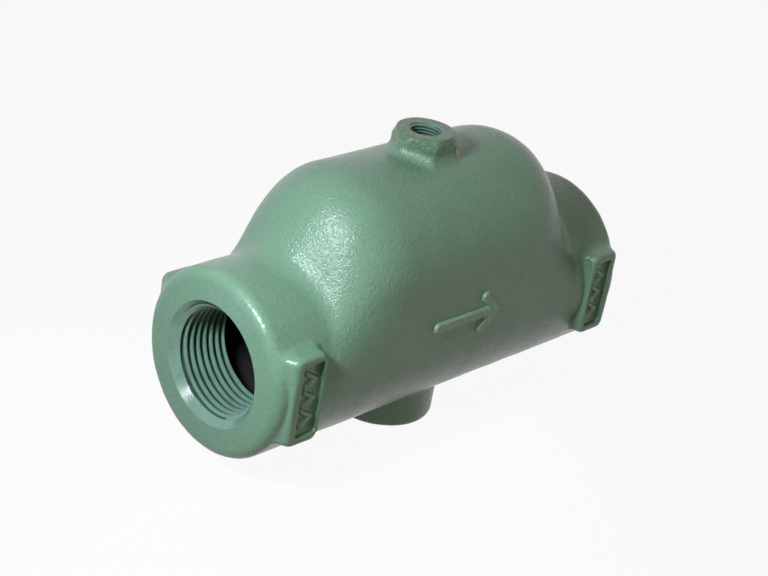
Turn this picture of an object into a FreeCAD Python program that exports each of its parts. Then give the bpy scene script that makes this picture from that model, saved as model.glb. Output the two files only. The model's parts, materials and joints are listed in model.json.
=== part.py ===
"""Air purger for one-inch pipe: a domed cast-iron body with three flow plates cast into its chamber.

Origin: middle of the tank boss's lower face. +X is the flow direction, +Z is up. Millimetres.
"""
import FreeCAD, Part
import math
import os
from FreeCAD import Vector

# Pipe line
face_to_face = 143.2
axis_height = 33.5
barrel_radius = 27.0
hub_length = 20.2
rim_round = 3.2
wall = 6.0
end_wall = 8.5

# Dome over the chamber, its top measured from the pipe axis
dome_top = 49.7
dome_crown_half = 25.0
dome_shoulder_round = 18.6
dome_root_round = 4.0
shoulder_growth = 0.77

# Threaded ports: radius at the crests of the thread and at the mouth of its chamfer
pipe_thread_radius = 14.8
pipe_mouth_radius = 17.95
pipe_thread_length = 17.5
cored_radius = 17.2
vent_thread_radius = 4.35
vent_mouth_radius = 5.2
tank_thread_radius = 9.2
tank_mouth_radius = 10.9

# Vent boss on the crown, its top measured from the pipe axis, and tank boss underneath
vent_boss_flats = 18.0
vent_boss_top = 55.8
vent_face_radius = 8.95
vent_face_slope = 1.2
tank_boss_radius = 15.9
tank_boss_chamfer = 0.8

# Wrench pads on both sides of both hubs, with a sunk panel in each
pad_from_face = 4.4
pad_length = 10.8
pad_height = 25.6
pad_across = 56.6
pad_draft = 6.0
pad_foot_share = 0.6
pad_corner = 1.3
pad_edge_chamfer = 0.8
panel_length = 6.8
panel_height = 21.4
panel_corner = 1.0
panel_depth = 1.7

# Flow plates in the chamber: thickness, grip in the wall, places along X, edges from the pipe axis
plate = 2.6
plate_grip = 1.6
weir_x = -25.0
weir_top = -4.0
baffle_x = 26.0
baffle_foot = 10.0
scoop_front = -14.0
scoop_back = 15.0
scoop_lip = 7.5
scoop_top = 15.0

# How far a cutter reaches past what it cuts, and how near two edges are to be taken as one
cut_over = 1.0
join_tolerance = 0.0005

# Where the end of the dome is measured: shares of the straight way from its foot to the crown's extrusion,
# steps over the rest of that way, steps past both ends that keep it smooth there, and steps around
back_shares = (0, 0.045, 0.09, 0.135, 0.19, 0.27, 0.36, 0.47, 0.6, 0.75)
crown_steps = 5
beyond_shares = (0.045, 0.09, 0.2, 0.4)
around_steps = 48
least_rise_share = 0.003

half_length = face_to_face / 2
dome_foot = half_length - hub_length
dome_rise = dome_top - barrel_radius
end_run = dome_foot - dome_crown_half
X = Vector(1, 0, 0)
Y = Vector(0, 1, 0)
Z = Vector(0, 0, 1)
ORIGIN = Vector(0, 0, 0)
HUB_SIDES = [(end, side) for end in (-1, 1) for side in (-1, 1)]


def section_rise(angle):
    """How far the dome's section stands outside the barrel at an angle from +Y towards +Z.

    The section is two half circles of the barrel's size, one raised over the other, and flat sides.
    """
    across = abs(math.cos(angle))
    up = math.sin(angle)
    if up <= 0:
        return 0.0
    if barrel_radius * up > dome_rise * across:
        return dome_rise * up + math.sqrt(barrel_radius ** 2 - (dome_rise * across) ** 2) - barrel_radius
    return barrel_radius / across - barrel_radius


class EndCurve:
    """Outline of the dome's end at one angle: a root arc at the foot, then a shoulder arc to the crown.

    The shoulder arc grows down the sides of the dome, where there is less of it to round off, but never
    past the crown's extrusion.
    """

    def __init__(self, rise):
        self.rise = rise
        self.drawn = max(rise, dome_rise * least_rise_share)
        self.root = dome_root_round
        grown = dome_shoulder_round * (self.drawn / dome_rise) ** -shoulder_growth
        widest = (end_run ** 2 + self.drawn ** 2) / (2 * self.drawn) - self.root
        self.shoulder = min(grown, widest)
        self.turn = math.acos(max(1 - self.drawn / (self.shoulder + self.root), 0.0))
        self.upright = max(self.drawn - self.shoulder - self.root, 0.0)
        self.crown_half = dome_foot - (self.root + self.shoulder) * math.sin(self.turn)
        self.length = (self.root + self.shoulder) * self.turn + self.upright + self.crown_half

    def stations(self):
        """Distances back from the foot: before it, up to the crown's extrusion, and past that."""
        before = [-end_run * share for share in reversed(beyond_shares)]
        near_foot = [end_run * share for share in back_shares]
        whole = self.length - dome_crown_half
        step = (whole - near_foot[-1]) / crown_steps
        rest = [near_foot[-1] + step * (k + 1) for k in range(crown_steps)]
        past = [whole + end_run * share for share in beyond_shares[2:]]
        return before + near_foot + rest + past

    def point(self, distance):
        """Place along X and height above the barrel, a distance back from the foot along the curve."""
        x, height = self.point_drawn(distance)
        return x, height * self.rise / self.drawn

    def point_drawn(self, distance):
        """The same on the curve as drawn, which always has some height."""
        if distance <= 0:
            return dome_foot - distance, 0.0
        root_length = self.root * self.turn
        if distance <= root_length:
            bend = distance / self.root
            return dome_foot - self.root * math.sin(bend), self.root * (1 - math.cos(bend))
        beyond = distance - root_length - self.upright
        if beyond <= 0:
            shoulder_foot = self.drawn - self.shoulder * (1 - math.cos(self.turn))
            return dome_foot - self.root * math.sin(self.turn), shoulder_foot + beyond
        if beyond <= self.shoulder * self.turn:
            bend = self.turn - beyond / self.shoulder
            drop = self.shoulder * (1 - math.cos(bend))
            return self.crown_half + self.shoulder * math.sin(bend), self.drawn - drop
        return self.length - distance, self.drawn


def skin_through(columns, along):
    """Smooth surface through columns of points, closed around, with the given distances along it."""
    around = [float(k) for k in range(len(columns) + 1)]
    rings = []
    for points in zip(*columns):
        ring = Part.BSplineCurve()
        ring.interpolate(Points=list(points), PeriodicFlag=True, Parameters=around)
        rings.append(ring)
    poles = []
    for points in zip(*[ring.getPoles() for ring in rings]):
        strand = Part.BSplineCurve()
        strand.interpolate(Points=list(points), Parameters=along)
        poles.append(strand.getPoles())
    skin = Part.BSplineSurface()
    skin.buildFromPolesMultsKnots(
        poles, ring.getMultiplicities(), strand.getMultiplicities(),
        ring.getKnots(), strand.getKnots(), True, False, ring.Degree, strand.Degree)
    return skin


def dome_end(end):
    """Face of one end of the dome, from the crown's extrusion to the foot, over the pipe's upper half."""
    columns = []
    for k in range(around_steps):
        angle = 2 * math.pi * k / around_steps - math.pi / 2
        curve = EndCurve(section_rise(angle))
        column = []
        for x, height in [curve.point(station) for station in curve.stations()]:
            radius = barrel_radius + height
            column.append(Vector(end * x, radius * math.cos(angle), axis_height + radius * math.sin(angle)))
        columns.append(column)
    along = EndCurve(dome_rise / 2).stations()
    crown = along[-1 - len(beyond_shares[2:])]
    return skin_through(columns, along).toShape(around_steps / 4, around_steps * 3 / 4, 0, crown)


def domed_barrel():
    """Closed solid of the dome and the barrel under it, between the feet of the dome."""
    ends = [dome_end(end) for end in (-1, 1)]
    start = Vector(-dome_foot, 0, axis_height)
    sides = Y * barrel_radius
    lower = Part.Arc(start + sides, start - Z * barrel_radius, start - sides).toShape()
    caps = []
    for end, face in zip((-1, 1), ends):
        foot = [edge for edge in face.Edges if flat_at(edge, end * dome_foot)]
        caps.append(Part.Face(Part.Wire(foot + [lower.translated(X * (end + 1) * dome_foot)])))
    crown = [edge for edge in ends[1].Edges if flat_at(edge, dome_crown_half)][0]
    skin = ends + caps + [crown.extrude(X * -2 * dome_crown_half), lower.extrude(X * 2 * dome_foot)]
    shell = Part.Shell(skin)
    shell.sewShape()
    return Part.Solid(shell)


def flat_at(edge, x):
    """Whether an edge lies in the plane across the pipe at x."""
    return edge.BoundBox.XLength < 0.001 and abs(edge.BoundBox.XMin - x) < 0.001


def hub(end):
    """Round hub at one end of the dome, its outer rim rounded."""
    start = Vector(end * dome_foot, 0, axis_height)
    blank = Part.makeCylinder(barrel_radius, hub_length, start, X * end)
    return blank.makeFillet(rim_round, [edge for edge in blank.Edges if flat_at(edge, end * half_length)])


def chamber(inset):
    """Closed solid of the room inside the barrel and the dome, an even wall behind their section.

    It is what the section and the side outline, whose upper corners are rounded, have in common.
    """
    radius = barrel_radius - inset
    half = dome_foot - end_wall
    raised = axis_height + dome_rise
    corner = Vector(-half, -radius, axis_height)
    section = Part.makeCylinder(radius, 2 * half, Vector(-half, 0, raised), X)
    section = section.fuse(Part.makeBox(2 * half, 2 * radius, dome_rise, corner))
    outline = Part.makeBox(2 * half, 2 * radius, dome_rise + radius, corner)
    across = [edge for edge in outline.Edges if edge.BoundBox.YLength > radius]
    upper_edges = [edge for edge in across if edge.BoundBox.ZMin > raised]
    upper = section.common(outline.makeFillet(dome_shoulder_round - wall, upper_edges))
    return upper.fuse(Part.makeCylinder(radius, 2 * dome_foot, Vector(-dome_foot, 0, axis_height), X))


def turned(profile, place, axis):
    """Solid of revolution: profile holds (along, radius) points from a start on the axis to an end on it."""
    sideways = X if abs(axis.x) < 0.5 else Z
    points = [place + axis * along + sideways * radius for along, radius in profile]
    return Part.Face(Part.makePolygon(points + [points[0]])).revolve(place, axis, 360)


def port(place, axis, thread_radius, mouth_radius, depth):
    """Cutter for a threaded hole with a chamfered mouth; the axis points out of the hole."""
    chamfer = mouth_radius - thread_radius
    profile = [(-depth, 0), (-depth, thread_radius), (-chamfer, thread_radius)]
    profile += [(cut_over, mouth_radius + cut_over), (cut_over, 0)]
    return turned(profile, place, axis)


def pipe_port(end):
    """Cutter for a pipe port: the tapped length, then the wider cored passage into the chamber."""
    face = Vector(end * half_length, 0, axis_height)
    outward = X * end
    tapped = port(face, outward, pipe_thread_radius, pipe_mouth_radius, pipe_thread_length)
    cored_length = hub_length - pipe_thread_length + cut_over
    start = face - outward * (hub_length + cut_over)
    return tapped.fuse(Part.makeCylinder(cored_radius, cored_length, start, outward))


def vent_port():
    """Cutter for the threaded hole through the vent boss."""
    mouth = Vector(0, 0, axis_height + vent_boss_top)
    inner = barrel_radius - wall
    sag = inner - math.sqrt(inner ** 2 - vent_thread_radius ** 2)
    depth = vent_boss_top - dome_top + wall + sag + cut_over
    return port(mouth, Z, vent_thread_radius, vent_mouth_radius, depth)


def tank_port():
    """Cutter for the threaded hole through the tank boss."""
    inner = barrel_radius - wall
    depth = axis_height - math.sqrt(inner ** 2 - tank_thread_radius ** 2) + cut_over
    return port(ORIGIN, -Z, tank_thread_radius, tank_mouth_radius, depth)


def on_hub(shape, end, side):
    """A shape made for the outlet hub's +Y side, mirrored to one side of one hub."""
    if end < 0:
        shape = shape.mirror(ORIGIN, X)
    return shape if side > 0 else shape.mirror(ORIGIN, Y)


def wrench_pad(end, side):
    """Drafted block on one side of one hub, its corners and outer edges rounded."""
    foot_y = barrel_radius * pad_foot_share
    face_y = pad_across / 2
    spread = (face_y - foot_y) * math.tan(math.radians(pad_draft))
    far = half_length - pad_from_face
    near = far - pad_length
    low = axis_height - pad_height / 2
    high = axis_height + pad_height / 2
    block = Part.makeWedge(
        near - spread, foot_y, low - spread, low, near,
        far + spread, face_y, high + spread, high, far)
    sides = [edge for edge in block.Edges if edge.BoundBox.YLength > pad_corner]
    block = block.makeFillet(pad_corner, sides)
    rim = [edge for edge in block.Edges if abs(edge.BoundBox.YMin - face_y) < 0.001]
    return on_hub(block.makeChamfer(pad_edge_chamfer, rim), end, side)


def pad_panel(end, side):
    """Cutter for the sunk panel in a wrench pad."""
    near = half_length - pad_from_face - (pad_length + panel_length) / 2
    corner = Vector(near, pad_across / 2 - panel_depth, axis_height - panel_height / 2)
    block = Part.makeBox(panel_length, panel_depth + cut_over, panel_height, corner)
    upright = [edge for edge in block.Edges if edge.BoundBox.YLength > panel_depth]
    return on_hub(block.makeFillet(panel_corner, upright), end, side)


def vent_boss():
    """Hexagonal boss on the crown, corners towards the ports, its top turned down to a round face."""
    corner_radius = vent_boss_flats / math.sqrt(3)
    foot = axis_height + dome_top - wall / 2
    top = axis_height + vent_boss_top
    turns = [math.radians(60 * k) for k in range(7)]
    corners = [Vector(corner_radius * math.cos(t), corner_radius * math.sin(t), foot) for t in turns]
    prism = Part.Face(Part.makePolygon(corners)).extrude(Z * (top - foot))
    wide = corner_radius + cut_over
    cone_foot = (vent_face_radius - wide) / vent_face_slope
    profile = [(foot - top, 0), (foot - top, wide), (cone_foot, wide), (0, vent_face_radius), (0, 0)]
    return prism.common(turned(profile, Vector(0, 0, top), Z))


def tank_boss():
    """Round boss under the barrel; the body stands on its lower face."""
    boss = Part.makeCylinder(tank_boss_radius, axis_height - barrel_radius / 2)
    lower = [edge for edge in boss.Edges if edge.BoundBox.ZMax < 0.01]
    return boss.makeChamfer(tank_boss_chamfer, lower)


def upright_plate(x, low, high):
    """Flat plate across the chamber between two heights from the pipe axis, before it is trimmed."""
    corner = Vector(x - plate / 2, -barrel_radius, axis_height + low)
    return Part.makeBox(plate, 2 * barrel_radius, high - low, corner)


def inlet_weir():
    """Plate that rises from the chamber's floor and lifts the stream."""
    return upright_plate(weir_x, -barrel_radius, weir_top)


def outlet_baffle():
    """Plate that hangs from the dome and holds bubbles back from the outlet."""
    return upright_plate(baffle_x, baffle_foot, dome_top)


def air_scoop():
    """Curved vane across the chamber that turns the top of the stream up into the dome."""
    run = scoop_back - scoop_front
    climb = scoop_top - scoop_lip
    radius = (run ** 2 + climb ** 2) / (2 * climb)
    centre = Vector(scoop_back, -barrel_radius, axis_height + scoop_top - radius)
    whole_turn = math.asin(run / radius)
    arcs = []
    for reach in (radius, radius + plate):
        turns = (whole_turn, whole_turn / 2, 0)
        arcs.append([centre + Vector(-reach * math.sin(t), 0, reach * math.cos(t)) for t in turns])
    lower, upper = arcs
    back = Part.makeLine(lower[2], upper[2])
    front = Part.makeLine(upper[0], lower[0])
    outline = Part.Wire([Part.Arc(*lower).toShape(), back, Part.Arc(*upper).toShape(), front])
    return Part.Face(outline).extrude(Vector(0, 2 * barrel_radius, 0))


def flow_plates():
    """The three plates by name, trimmed to the chamber and the grip that they have in its wall."""
    room = chamber(wall - plate_grip)
    blanks = {"inlet_weir": inlet_weir(), "air_scoop": air_scoop(), "outlet_baffle": outlet_baffle()}
    return {name: blank.common(room) for name, blank in blanks.items()}


def body_casting(plates):
    """The casting: barrel, dome, bosses and pads, less the chamber, the ports and the plates' grips."""
    added = [wrench_pad(end, side) for end, side in HUB_SIDES] + [vent_boss(), tank_boss()]
    body = domed_barrel().fuse([hub(-1), hub(1)], join_tolerance).fuse(added)
    removed = [chamber(wall), pipe_port(-1), pipe_port(1), vent_port(), tank_port()]
    removed += [pad_panel(end, side) for end, side in HUB_SIDES]
    return body.cut(removed + plates)


def main():
    """Build each piece and write it as a file of its own."""
    os.makedirs("parts", exist_ok=True)
    pieces = flow_plates()
    pieces["body_casting"] = body_casting(list(pieces.values()))
    for name, shape in pieces.items():
        shape.exportStep("parts/" + name + ".step")
        print(name, "solids", len(shape.Solids), "valid", shape.isValid(), "volume", round(shape.Volume))


main()
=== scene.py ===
"""Looks of an air purger for one-inch pipe: one enamelled iron casting with three plates inside.

The casting is a single closed skin. Its outside, chamber, bosses, pads and threaded ports are grids of
points in millimetres, laid edge to edge and joined. X runs along the pipe with the flow, Z is up, and
angles around the pipe are measured from +Y towards +Z.
"""

import json
import logging
import math
from dataclasses import dataclass, field, replace
from enum import Enum
from typing import Callable

import bmesh
import bpy
import numpy as np
from mathutils import Matrix, Vector
from numpy.typing import NDArray

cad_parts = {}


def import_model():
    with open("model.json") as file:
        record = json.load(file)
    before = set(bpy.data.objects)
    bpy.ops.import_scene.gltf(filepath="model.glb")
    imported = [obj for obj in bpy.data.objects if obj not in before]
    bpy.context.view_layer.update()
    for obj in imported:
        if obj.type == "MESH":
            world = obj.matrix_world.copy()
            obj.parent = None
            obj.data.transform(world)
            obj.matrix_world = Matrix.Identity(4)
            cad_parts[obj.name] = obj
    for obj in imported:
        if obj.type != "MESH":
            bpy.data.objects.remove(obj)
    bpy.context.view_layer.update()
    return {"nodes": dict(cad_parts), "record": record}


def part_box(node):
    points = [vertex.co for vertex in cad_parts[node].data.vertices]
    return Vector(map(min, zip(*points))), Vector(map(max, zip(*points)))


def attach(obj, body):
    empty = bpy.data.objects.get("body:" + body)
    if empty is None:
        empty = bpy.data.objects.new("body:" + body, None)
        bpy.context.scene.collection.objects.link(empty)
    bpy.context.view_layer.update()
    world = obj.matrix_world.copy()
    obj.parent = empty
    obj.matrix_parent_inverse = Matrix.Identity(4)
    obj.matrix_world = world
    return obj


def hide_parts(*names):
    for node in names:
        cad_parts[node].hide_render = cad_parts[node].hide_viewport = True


Array = NDArray[np.float64]
Height = Callable[[Array, Array], Array]
Stroke = tuple[tuple[float, float], ...]
# The input at which a ramp starts and the one at which it ends, then what it gives before and after.
Ramp = tuple[float, float, float, float]

LOG = logging.getLogger("air_purger")
# One millimetre in metres, and the distance in millimetres within which points are joined.
MM = 0.001
JOIN_DISTANCE = 1e-4
# Stands for zero where a number is divided by it or compared with it.
TINY = 1e-9
BODY = "root"


class Finish(Enum):
    """What a stretch of the casting's skin is covered with; the value is its material's place."""

    ENAMEL = 0
    THREAD = 1
    IRON = 2
    # Painted shade: a thread's roots take a darker colour where shade falls into them.
    GROOVE = 3


@dataclass
class Patch:
    """A grid of points in millimetres whose neighbours form the faces of one stretch of skin.

    Attributes:
        points: Rows of points, as rows by columns by three.
        finish: What covers the stretch.
        wave: How much of the casting's unevenness it takes, from 0 to 1, one value or one for each row.
        shift: Rows by which the last column is joined to the first; a thread climbs by one turn there.
        kept: Which cells are faces; all of them where it is None.
        grooved: Which cells are a thread's roots and take the painted shade; none of them where it is None.
    """

    points: Array
    finish: Finish
    wave: float | Array = 0.0
    shift: int = 0
    kept: NDArray[np.bool_] | None = None
    grooved: NDArray[np.bool_] | None = None

    def cells(self) -> tuple[NDArray[np.int64], NDArray[np.int64]]:
        """Corner numbers and finishes of the faces, each face from two neighbouring rows and columns.

        Returns:
            One row of four corner numbers for each face, and the number of its finish.
        """
        rows, columns = self.points.shape[:2]
        index = np.arange(rows * columns).reshape(rows, columns)
        beside = np.roll(index, -1, axis=1)
        beside[:, -1] = np.append(index[self.shift:, 0], np.full(self.shift, -1))
        corners = np.stack([index[:-1], index[1:], beside[1:], beside[:-1]], axis=-1)
        shown = corners.min(axis=-1) >= 0
        if self.kept is not None:
            shown &= self.kept
        finishes = np.full(shown.shape, self.finish.value)
        if self.grooved is not None:
            # Painted shade: root cells get the dark groove colour.
            finishes[self.grooved] = Finish.GROOVE.value
        return corners[shown], finishes[shown]

    def weights(self) -> Array:
        """The wave value of every point.

        Returns:
            One value for each point, row by row.
        """
        rows, columns = self.points.shape[:2]
        by_row = np.broadcast_to(np.reshape(self.wave, (-1, 1)), (rows, 1))
        return np.repeat(by_row, columns, axis=1).ravel()

    def mirrored(self, signs: tuple[float, float, float]) -> "Patch":
        """The same stretch with each coordinate times its sign."""
        return replace(self, points=self.points * np.array(signs))


def joined_mesh(name: str, patches: list[Patch]) -> tuple[bpy.types.Mesh, Array]:
    """Join patches where their points meet, and turn all faces outwards.

    Points nearer than the join distance become one. A face that loses a corner so becomes a triangle, and
    one that loses two goes.

    Args:
        name: Name of the mesh.
        patches: Patches whose borders meet.

    Returns:
        The mesh in metres, and the wave value of each of its points.
    """
    points = np.concatenate([patch.points.reshape(-1, 3) for patch in patches])
    weights = np.concatenate([patch.weights() for patch in patches])
    starts = np.cumsum([0] + [patch.points.shape[0] * patch.points.shape[1] for patch in patches])
    faces = [patch.cells() for patch in patches]
    cells = np.concatenate([corners + start for (corners, _), start in zip(faces, starts)])
    finishes = np.concatenate([numbers for _, numbers in faces])
    keys = np.round(points / JOIN_DISTANCE).astype(np.int64)
    _, first, number = np.unique(keys, axis=0, return_index=True, return_inverse=True)
    number = number.reshape(-1)
    lowest = np.ones(len(first))
    np.minimum.at(lowest, number, weights)
    cells = number[cells]
    used = cells != np.roll(cells, -1, axis=1)
    whole = (used.sum(axis=1) >= 3) & (cells[:, 0] != cells[:, 2]) & (cells[:, 1] != cells[:, 3])
    corners = cells[whole][used[whole]]
    sizes = used[whole].sum(axis=1)

    mesh = bpy.data.meshes.new(name)
    mesh.vertices.add(len(first))
    mesh.vertices.foreach_set("co", (points[first] * MM).ravel())
    mesh.loops.add(len(corners))
    mesh.loops.foreach_set("vertex_index", corners.astype(np.int32))
    mesh.polygons.add(len(sizes))
    mesh.polygons.foreach_set("loop_start", (np.cumsum(sizes) - sizes).astype(np.int32))
    mesh.polygons.foreach_set("material_index", finishes[whole].astype(np.int32))
    mesh.update(calc_edges=True)
    turn_outwards(mesh)
    return mesh, lowest


def turn_outwards(mesh: bpy.types.Mesh) -> None:
    """Turn every face of a closed mesh outwards.

    Args:
        mesh: The mesh, changed in place.
    """
    work = bmesh.new()
    work.from_mesh(mesh)
    bmesh.ops.recalc_face_normals(work, faces=work.faces)
    work.to_mesh(mesh)
    work.free()


def place_piece(name: str, mesh: bpy.types.Mesh, materials: list[bpy.types.Material],
                sharp_degrees: float) -> bpy.types.Object:
    """Put a finished mesh into the scene as a piece that rides on the body.

    Args:
        name: Name of the piece.
        mesh: Its mesh, in metres in the part's frame.
        materials: Its materials, in the order of the faces' material numbers.
        sharp_degrees: Edges that turn by more than this stay sharp.

    Returns:
        The piece.
    """
    for material in materials:
        mesh.materials.append(material)
    mesh.shade_smooth()
    mesh.set_sharp_from_angle(angle=math.radians(sharp_degrees))
    piece = bpy.data.objects.new(name, mesh)
    bpy.context.scene.collection.objects.link(piece)
    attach(piece, BODY)
    LOG.info("%s: %d faces", name, len(mesh.polygons))
    return piece


def straight_rows(start: Array, stop: Array, steps: int) -> Array:
    """Rows of points that lead straight from one ring to another, both included."""
    return start + (stop - start) * np.linspace(0, 1, steps + 1)[:, None, None]


def bent_rows(start: Array, corner: Array, stop: Array, steps: int) -> Array:
    """Parabolas between two rings: start by (1-t) squared, corner by 2t(1-t) and stop by t squared."""
    share = np.linspace(0, 1, steps + 1)[:, None, None]
    return start * (1 - share) ** 2 + corner * 2 * share * (1 - share) + stop * share ** 2


def stacked(*stretches: Array) -> Array:
    """Join stretches of rows that start where the one before ends, each shared row once."""
    return np.concatenate([stretches[0]] + [stretch[1:] for stretch in stretches[1:]])


@dataclass(frozen=True)
class Block:
    """A rectangle of the casting's grid that something else takes the place of.

    Attributes:
        rows: First and last row.
        columns: First and last column; they may run past the seam.
    """

    rows: tuple[int, int]
    columns: tuple[int, int]

    def border(self, grid: Array) -> Array:
        """Points of the rectangle's border, from its first row and column along the first row.

        Args:
            grid: Rows by columns by three.

        Returns:
            Points by three, each once.
        """
        top, bottom = self.rows
        left, right = self.columns
        across = np.arange(left, right)
        down = np.arange(top, bottom)
        rows = np.concatenate([
            np.full(len(across), top), down, np.full(len(across), bottom), down[::-1] + 1])
        columns = np.concatenate([
            across, np.full(len(down), right), across[::-1] + 1, np.full(len(down), left)])
        return grid[rows, columns % grid.shape[1]]

    def clear(self, kept: NDArray[np.bool_]) -> None:
        """Mark the rectangle's cells as left out, in place."""
        columns = np.arange(*self.columns) % kept.shape[1]
        kept[self.rows[0]:self.rows[1], columns] = False


@dataclass
class Barrel:
    """Sizes of the barrel, its hubs and its dome, and the skins that follow them.

    Across the pipe the dome's section is two half circles of the barrel's size, one raised over the other,
    with flat sides. Along the pipe each line of the skin is a root arc, a slope, a shoulder arc and the
    crown. The shoulder arc grows down the sides of the dome, and outside the root arc grows up them.

    Attributes:
        face_to_face: Length over the two hub faces.
        axis_height: Height of the pipe axis over the tank boss's face.
        radius: Radius of the barrel and its hubs.
        hub_length: From a hub's face to the foot of the dome.
        rim_round: Rounding of a hub's outer rim.
        wall: Thickness of the iron.
        dome_rise: How far the upper half circle is raised.
        crown_half: Half length of the stretch whose section stays the same.
        shoulder_round: Shoulder arc at the top of the dome.
        root_round: Root arc at the sides, and everywhere in the chamber.
        root_growth: How much larger the outer root arc is at the top of the dome.
        steepest: Steepest slope of the dome's ends outside, in degrees.
        shoulder_growth: How fast the shoulder arc grows as the dome gets lower at its sides.
        least_rise_share: Rise for which the arcs are drawn where the dome doesn't rise.
        around: Columns around the pipe.
        rim_steps: Rows over the rim's rounding.
        hub_steps: Rows over the rest of a hub.
        end_steps: Rows over one end of the dome outside.
        chamber_end_steps: Rows over one end of the chamber.
        crown_steps: Rows over the crown.
    """

    face_to_face: float
    axis_height: float
    radius: float = 27.0
    hub_length: float = 20.2
    rim_round: float = 3.2
    wall: float = 6.0
    dome_rise: float = 22.7
    crown_half: float = 25.0
    shoulder_round: float = 18.6
    root_round: float = 4.0
    root_growth: float = 5.0
    steepest: float = 60.0
    shoulder_growth: float = 0.77
    least_rise_share: float = 0.003
    around: int = 160
    rim_steps: int = 6
    hub_steps: int = 20
    end_steps: int = 34
    chamber_end_steps: int = 14
    crown_steps: int = 50

    @property
    def half_length(self) -> float:
        """From the middle to a hub's face."""
        return self.face_to_face / 2

    @property
    def foot(self) -> float:
        """From the middle to the foot of the dome."""
        return self.half_length - self.hub_length

    @property
    def angles(self) -> Array:
        """Angle of each column around the pipe."""
        return np.arange(self.around) * (2 * math.pi / self.around)

    def ring(self, x: Array, radius: Array, angles: Array) -> Array:
        """Points around the pipe axis: x along it, the radius times cosine and sine of the angle across."""
        x, radius, angles = np.broadcast_arrays(x, radius, angles)
        return np.stack([x, radius * np.cos(angles), self.axis_height + radius * np.sin(angles)], axis=-1)

    def section_rise(self, inset: float) -> Array:
        """How far the dome's section stands outside the barrel in each column.

        On the raised half circle this is the far root of the ray's distance to that circle, less the
        barrel's radius. On the flat sides it is the radius over the cosine, less the radius.

        Args:
            inset: Depth under the outer skin.

        Returns:
            One height for each column.
        """
        radius = self.radius - inset
        across = np.abs(np.cos(self.angles))
        up = np.sin(self.angles)
        under_root = np.maximum(radius ** 2 - (self.dome_rise * across) ** 2, 0)
        on_arc = self.dome_rise * up + np.sqrt(under_root) - radius
        on_side = radius / np.maximum(across, TINY) - radius
        rise = np.where(radius * up > self.dome_rise * across, on_arc, on_side)
        return np.where(up <= TINY, 0.0, rise)

    def end_rows(self, inset: float, steps: int) -> Array:
        """Rows from the foot of the dome to its crown at the outlet end.

        Each column starts with a root arc, runs up a slope where the dome is higher than both arcs, and
        turns through a shoulder arc into the level crown; a row lies at one share of every column's way.
        The shoulder starts where the solid has it, so a softer root only moves the foot outwards.

        Args:
            inset: Depth under the outer skin.
            steps: Number of steps along the columns.

        Returns:
            Rows by columns by three.
        """
        rise = self.section_rise(inset)
        drawn = np.maximum(rise, self.dome_rise * self.least_rise_share)
        share = drawn / self.dome_rise
        shoulder = self.shoulder_round * share ** -self.shoulder_growth - inset
        plain_root = self.root_round + inset
        plain_turn = np.arccos(np.maximum(1 - drawn / (shoulder + plain_root), 0))
        level = self.foot - (plain_root + shoulder) * np.sin(plain_turn)
        outside = inset == 0
        root = plain_root + self.root_growth * share * outside
        steepest = math.radians(self.steepest) if outside else math.pi / 2
        turn = np.minimum(np.arccos(np.maximum(1 - drawn / (shoulder + root), 0)), steepest)
        slope = np.maximum(drawn - (shoulder + root) * (1 - np.cos(turn)), 0) / np.sin(turn)
        foot = level + (root + shoulder) * np.sin(turn) + slope * np.cos(turn)
        length = (root + shoulder) * turn + slope + level
        way = np.linspace(0, 1, steps + 1)[:, None] * (length - self.crown_half)
        on_root = np.minimum(way / root, turn)
        past_root = way - root * turn
        on_slope = np.clip(past_root, 0, slope)
        past_slope = past_root - slope
        bend = np.clip(turn - past_slope / shoulder, 0, turn)
        root_x = foot - root * np.sin(on_root) - on_slope * np.cos(turn)
        root_height = root * (1 - np.cos(on_root)) + on_slope * np.sin(turn)
        shoulder_x = level + shoulder * np.sin(bend) - np.maximum(past_slope - shoulder * turn, 0)
        shoulder_height = drawn - shoulder * (1 - np.cos(bend))
        over = past_slope > 0
        x = np.where(over, shoulder_x, root_x)
        height = np.where(over, shoulder_height, root_height) * (rise / drawn)
        return self.ring(x, self.radius - inset + height, self.angles)

    def dome_rows(self, inset: float, steps: int) -> Array:
        """Rows over the whole dome, from the outlet's foot to the inlet's.

        Args:
            inset: Depth under the outer skin.
            steps: Number of steps over each end.

        Returns:
            Rows by columns by three.
        """
        end = self.end_rows(inset, steps)
        places = np.linspace(self.crown_half, -self.crown_half, self.crown_steps + 1)[:, None]
        crown = self.ring(places, self.radius - inset + self.section_rise(inset), self.angles)
        return stacked(end, crown, end[::-1] * np.array([-1, 1, 1]))

    def outer_rows(self) -> Array:
        """Rows over the whole outside, from the outlet's face to the inlet's.

        A hub is a cylinder whose rim turns through a quarter circle into its face.

        Returns:
            Rows by columns by three.
        """
        bend = np.linspace(math.pi / 2, 0, self.rim_steps + 1)[:, None]
        rim_x = self.half_length - self.rim_round * (1 - np.sin(bend))
        rim = self.ring(rim_x, self.radius - self.rim_round * (1 - np.cos(bend)), self.angles)
        dome = self.dome_rows(0, self.end_steps)
        hub = stacked(rim, straight_rows(rim[-1], dome[0], self.hub_steps))
        return stacked(hub, dome, hub[::-1] * np.array([-1, 1, 1]))

    def crown_height(self, inset: float) -> Height:
        """Crown over x and y: the raised centre plus the root of radius squared less y squared."""
        raised = self.axis_height + self.dome_rise
        return lambda x, y: raised + np.sqrt((self.radius - inset) ** 2 - y ** 2) + 0 * x

    def belly_height(self, inset: float) -> Height:
        """Underside over x and y: the axis less the root of radius squared less y squared."""
        return lambda x, y: self.axis_height - np.sqrt((self.radius - inset) ** 2 - y ** 2) + 0 * x

    def hub_side(self, x: Array, z: Array) -> Array:
        """How far the outlet hub and its rounded rim reach along Y.

        Args:
            x: Places along the pipe.
            z: Heights over the pipe axis.

        Returns:
            The reach at each place.
        """
        past = np.clip(x - (self.half_length - self.rim_round), 0, self.rim_round)
        radius = self.radius - self.rim_round + np.sqrt(self.rim_round ** 2 - past ** 2)
        return np.sqrt(radius ** 2 - z ** 2)


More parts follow.
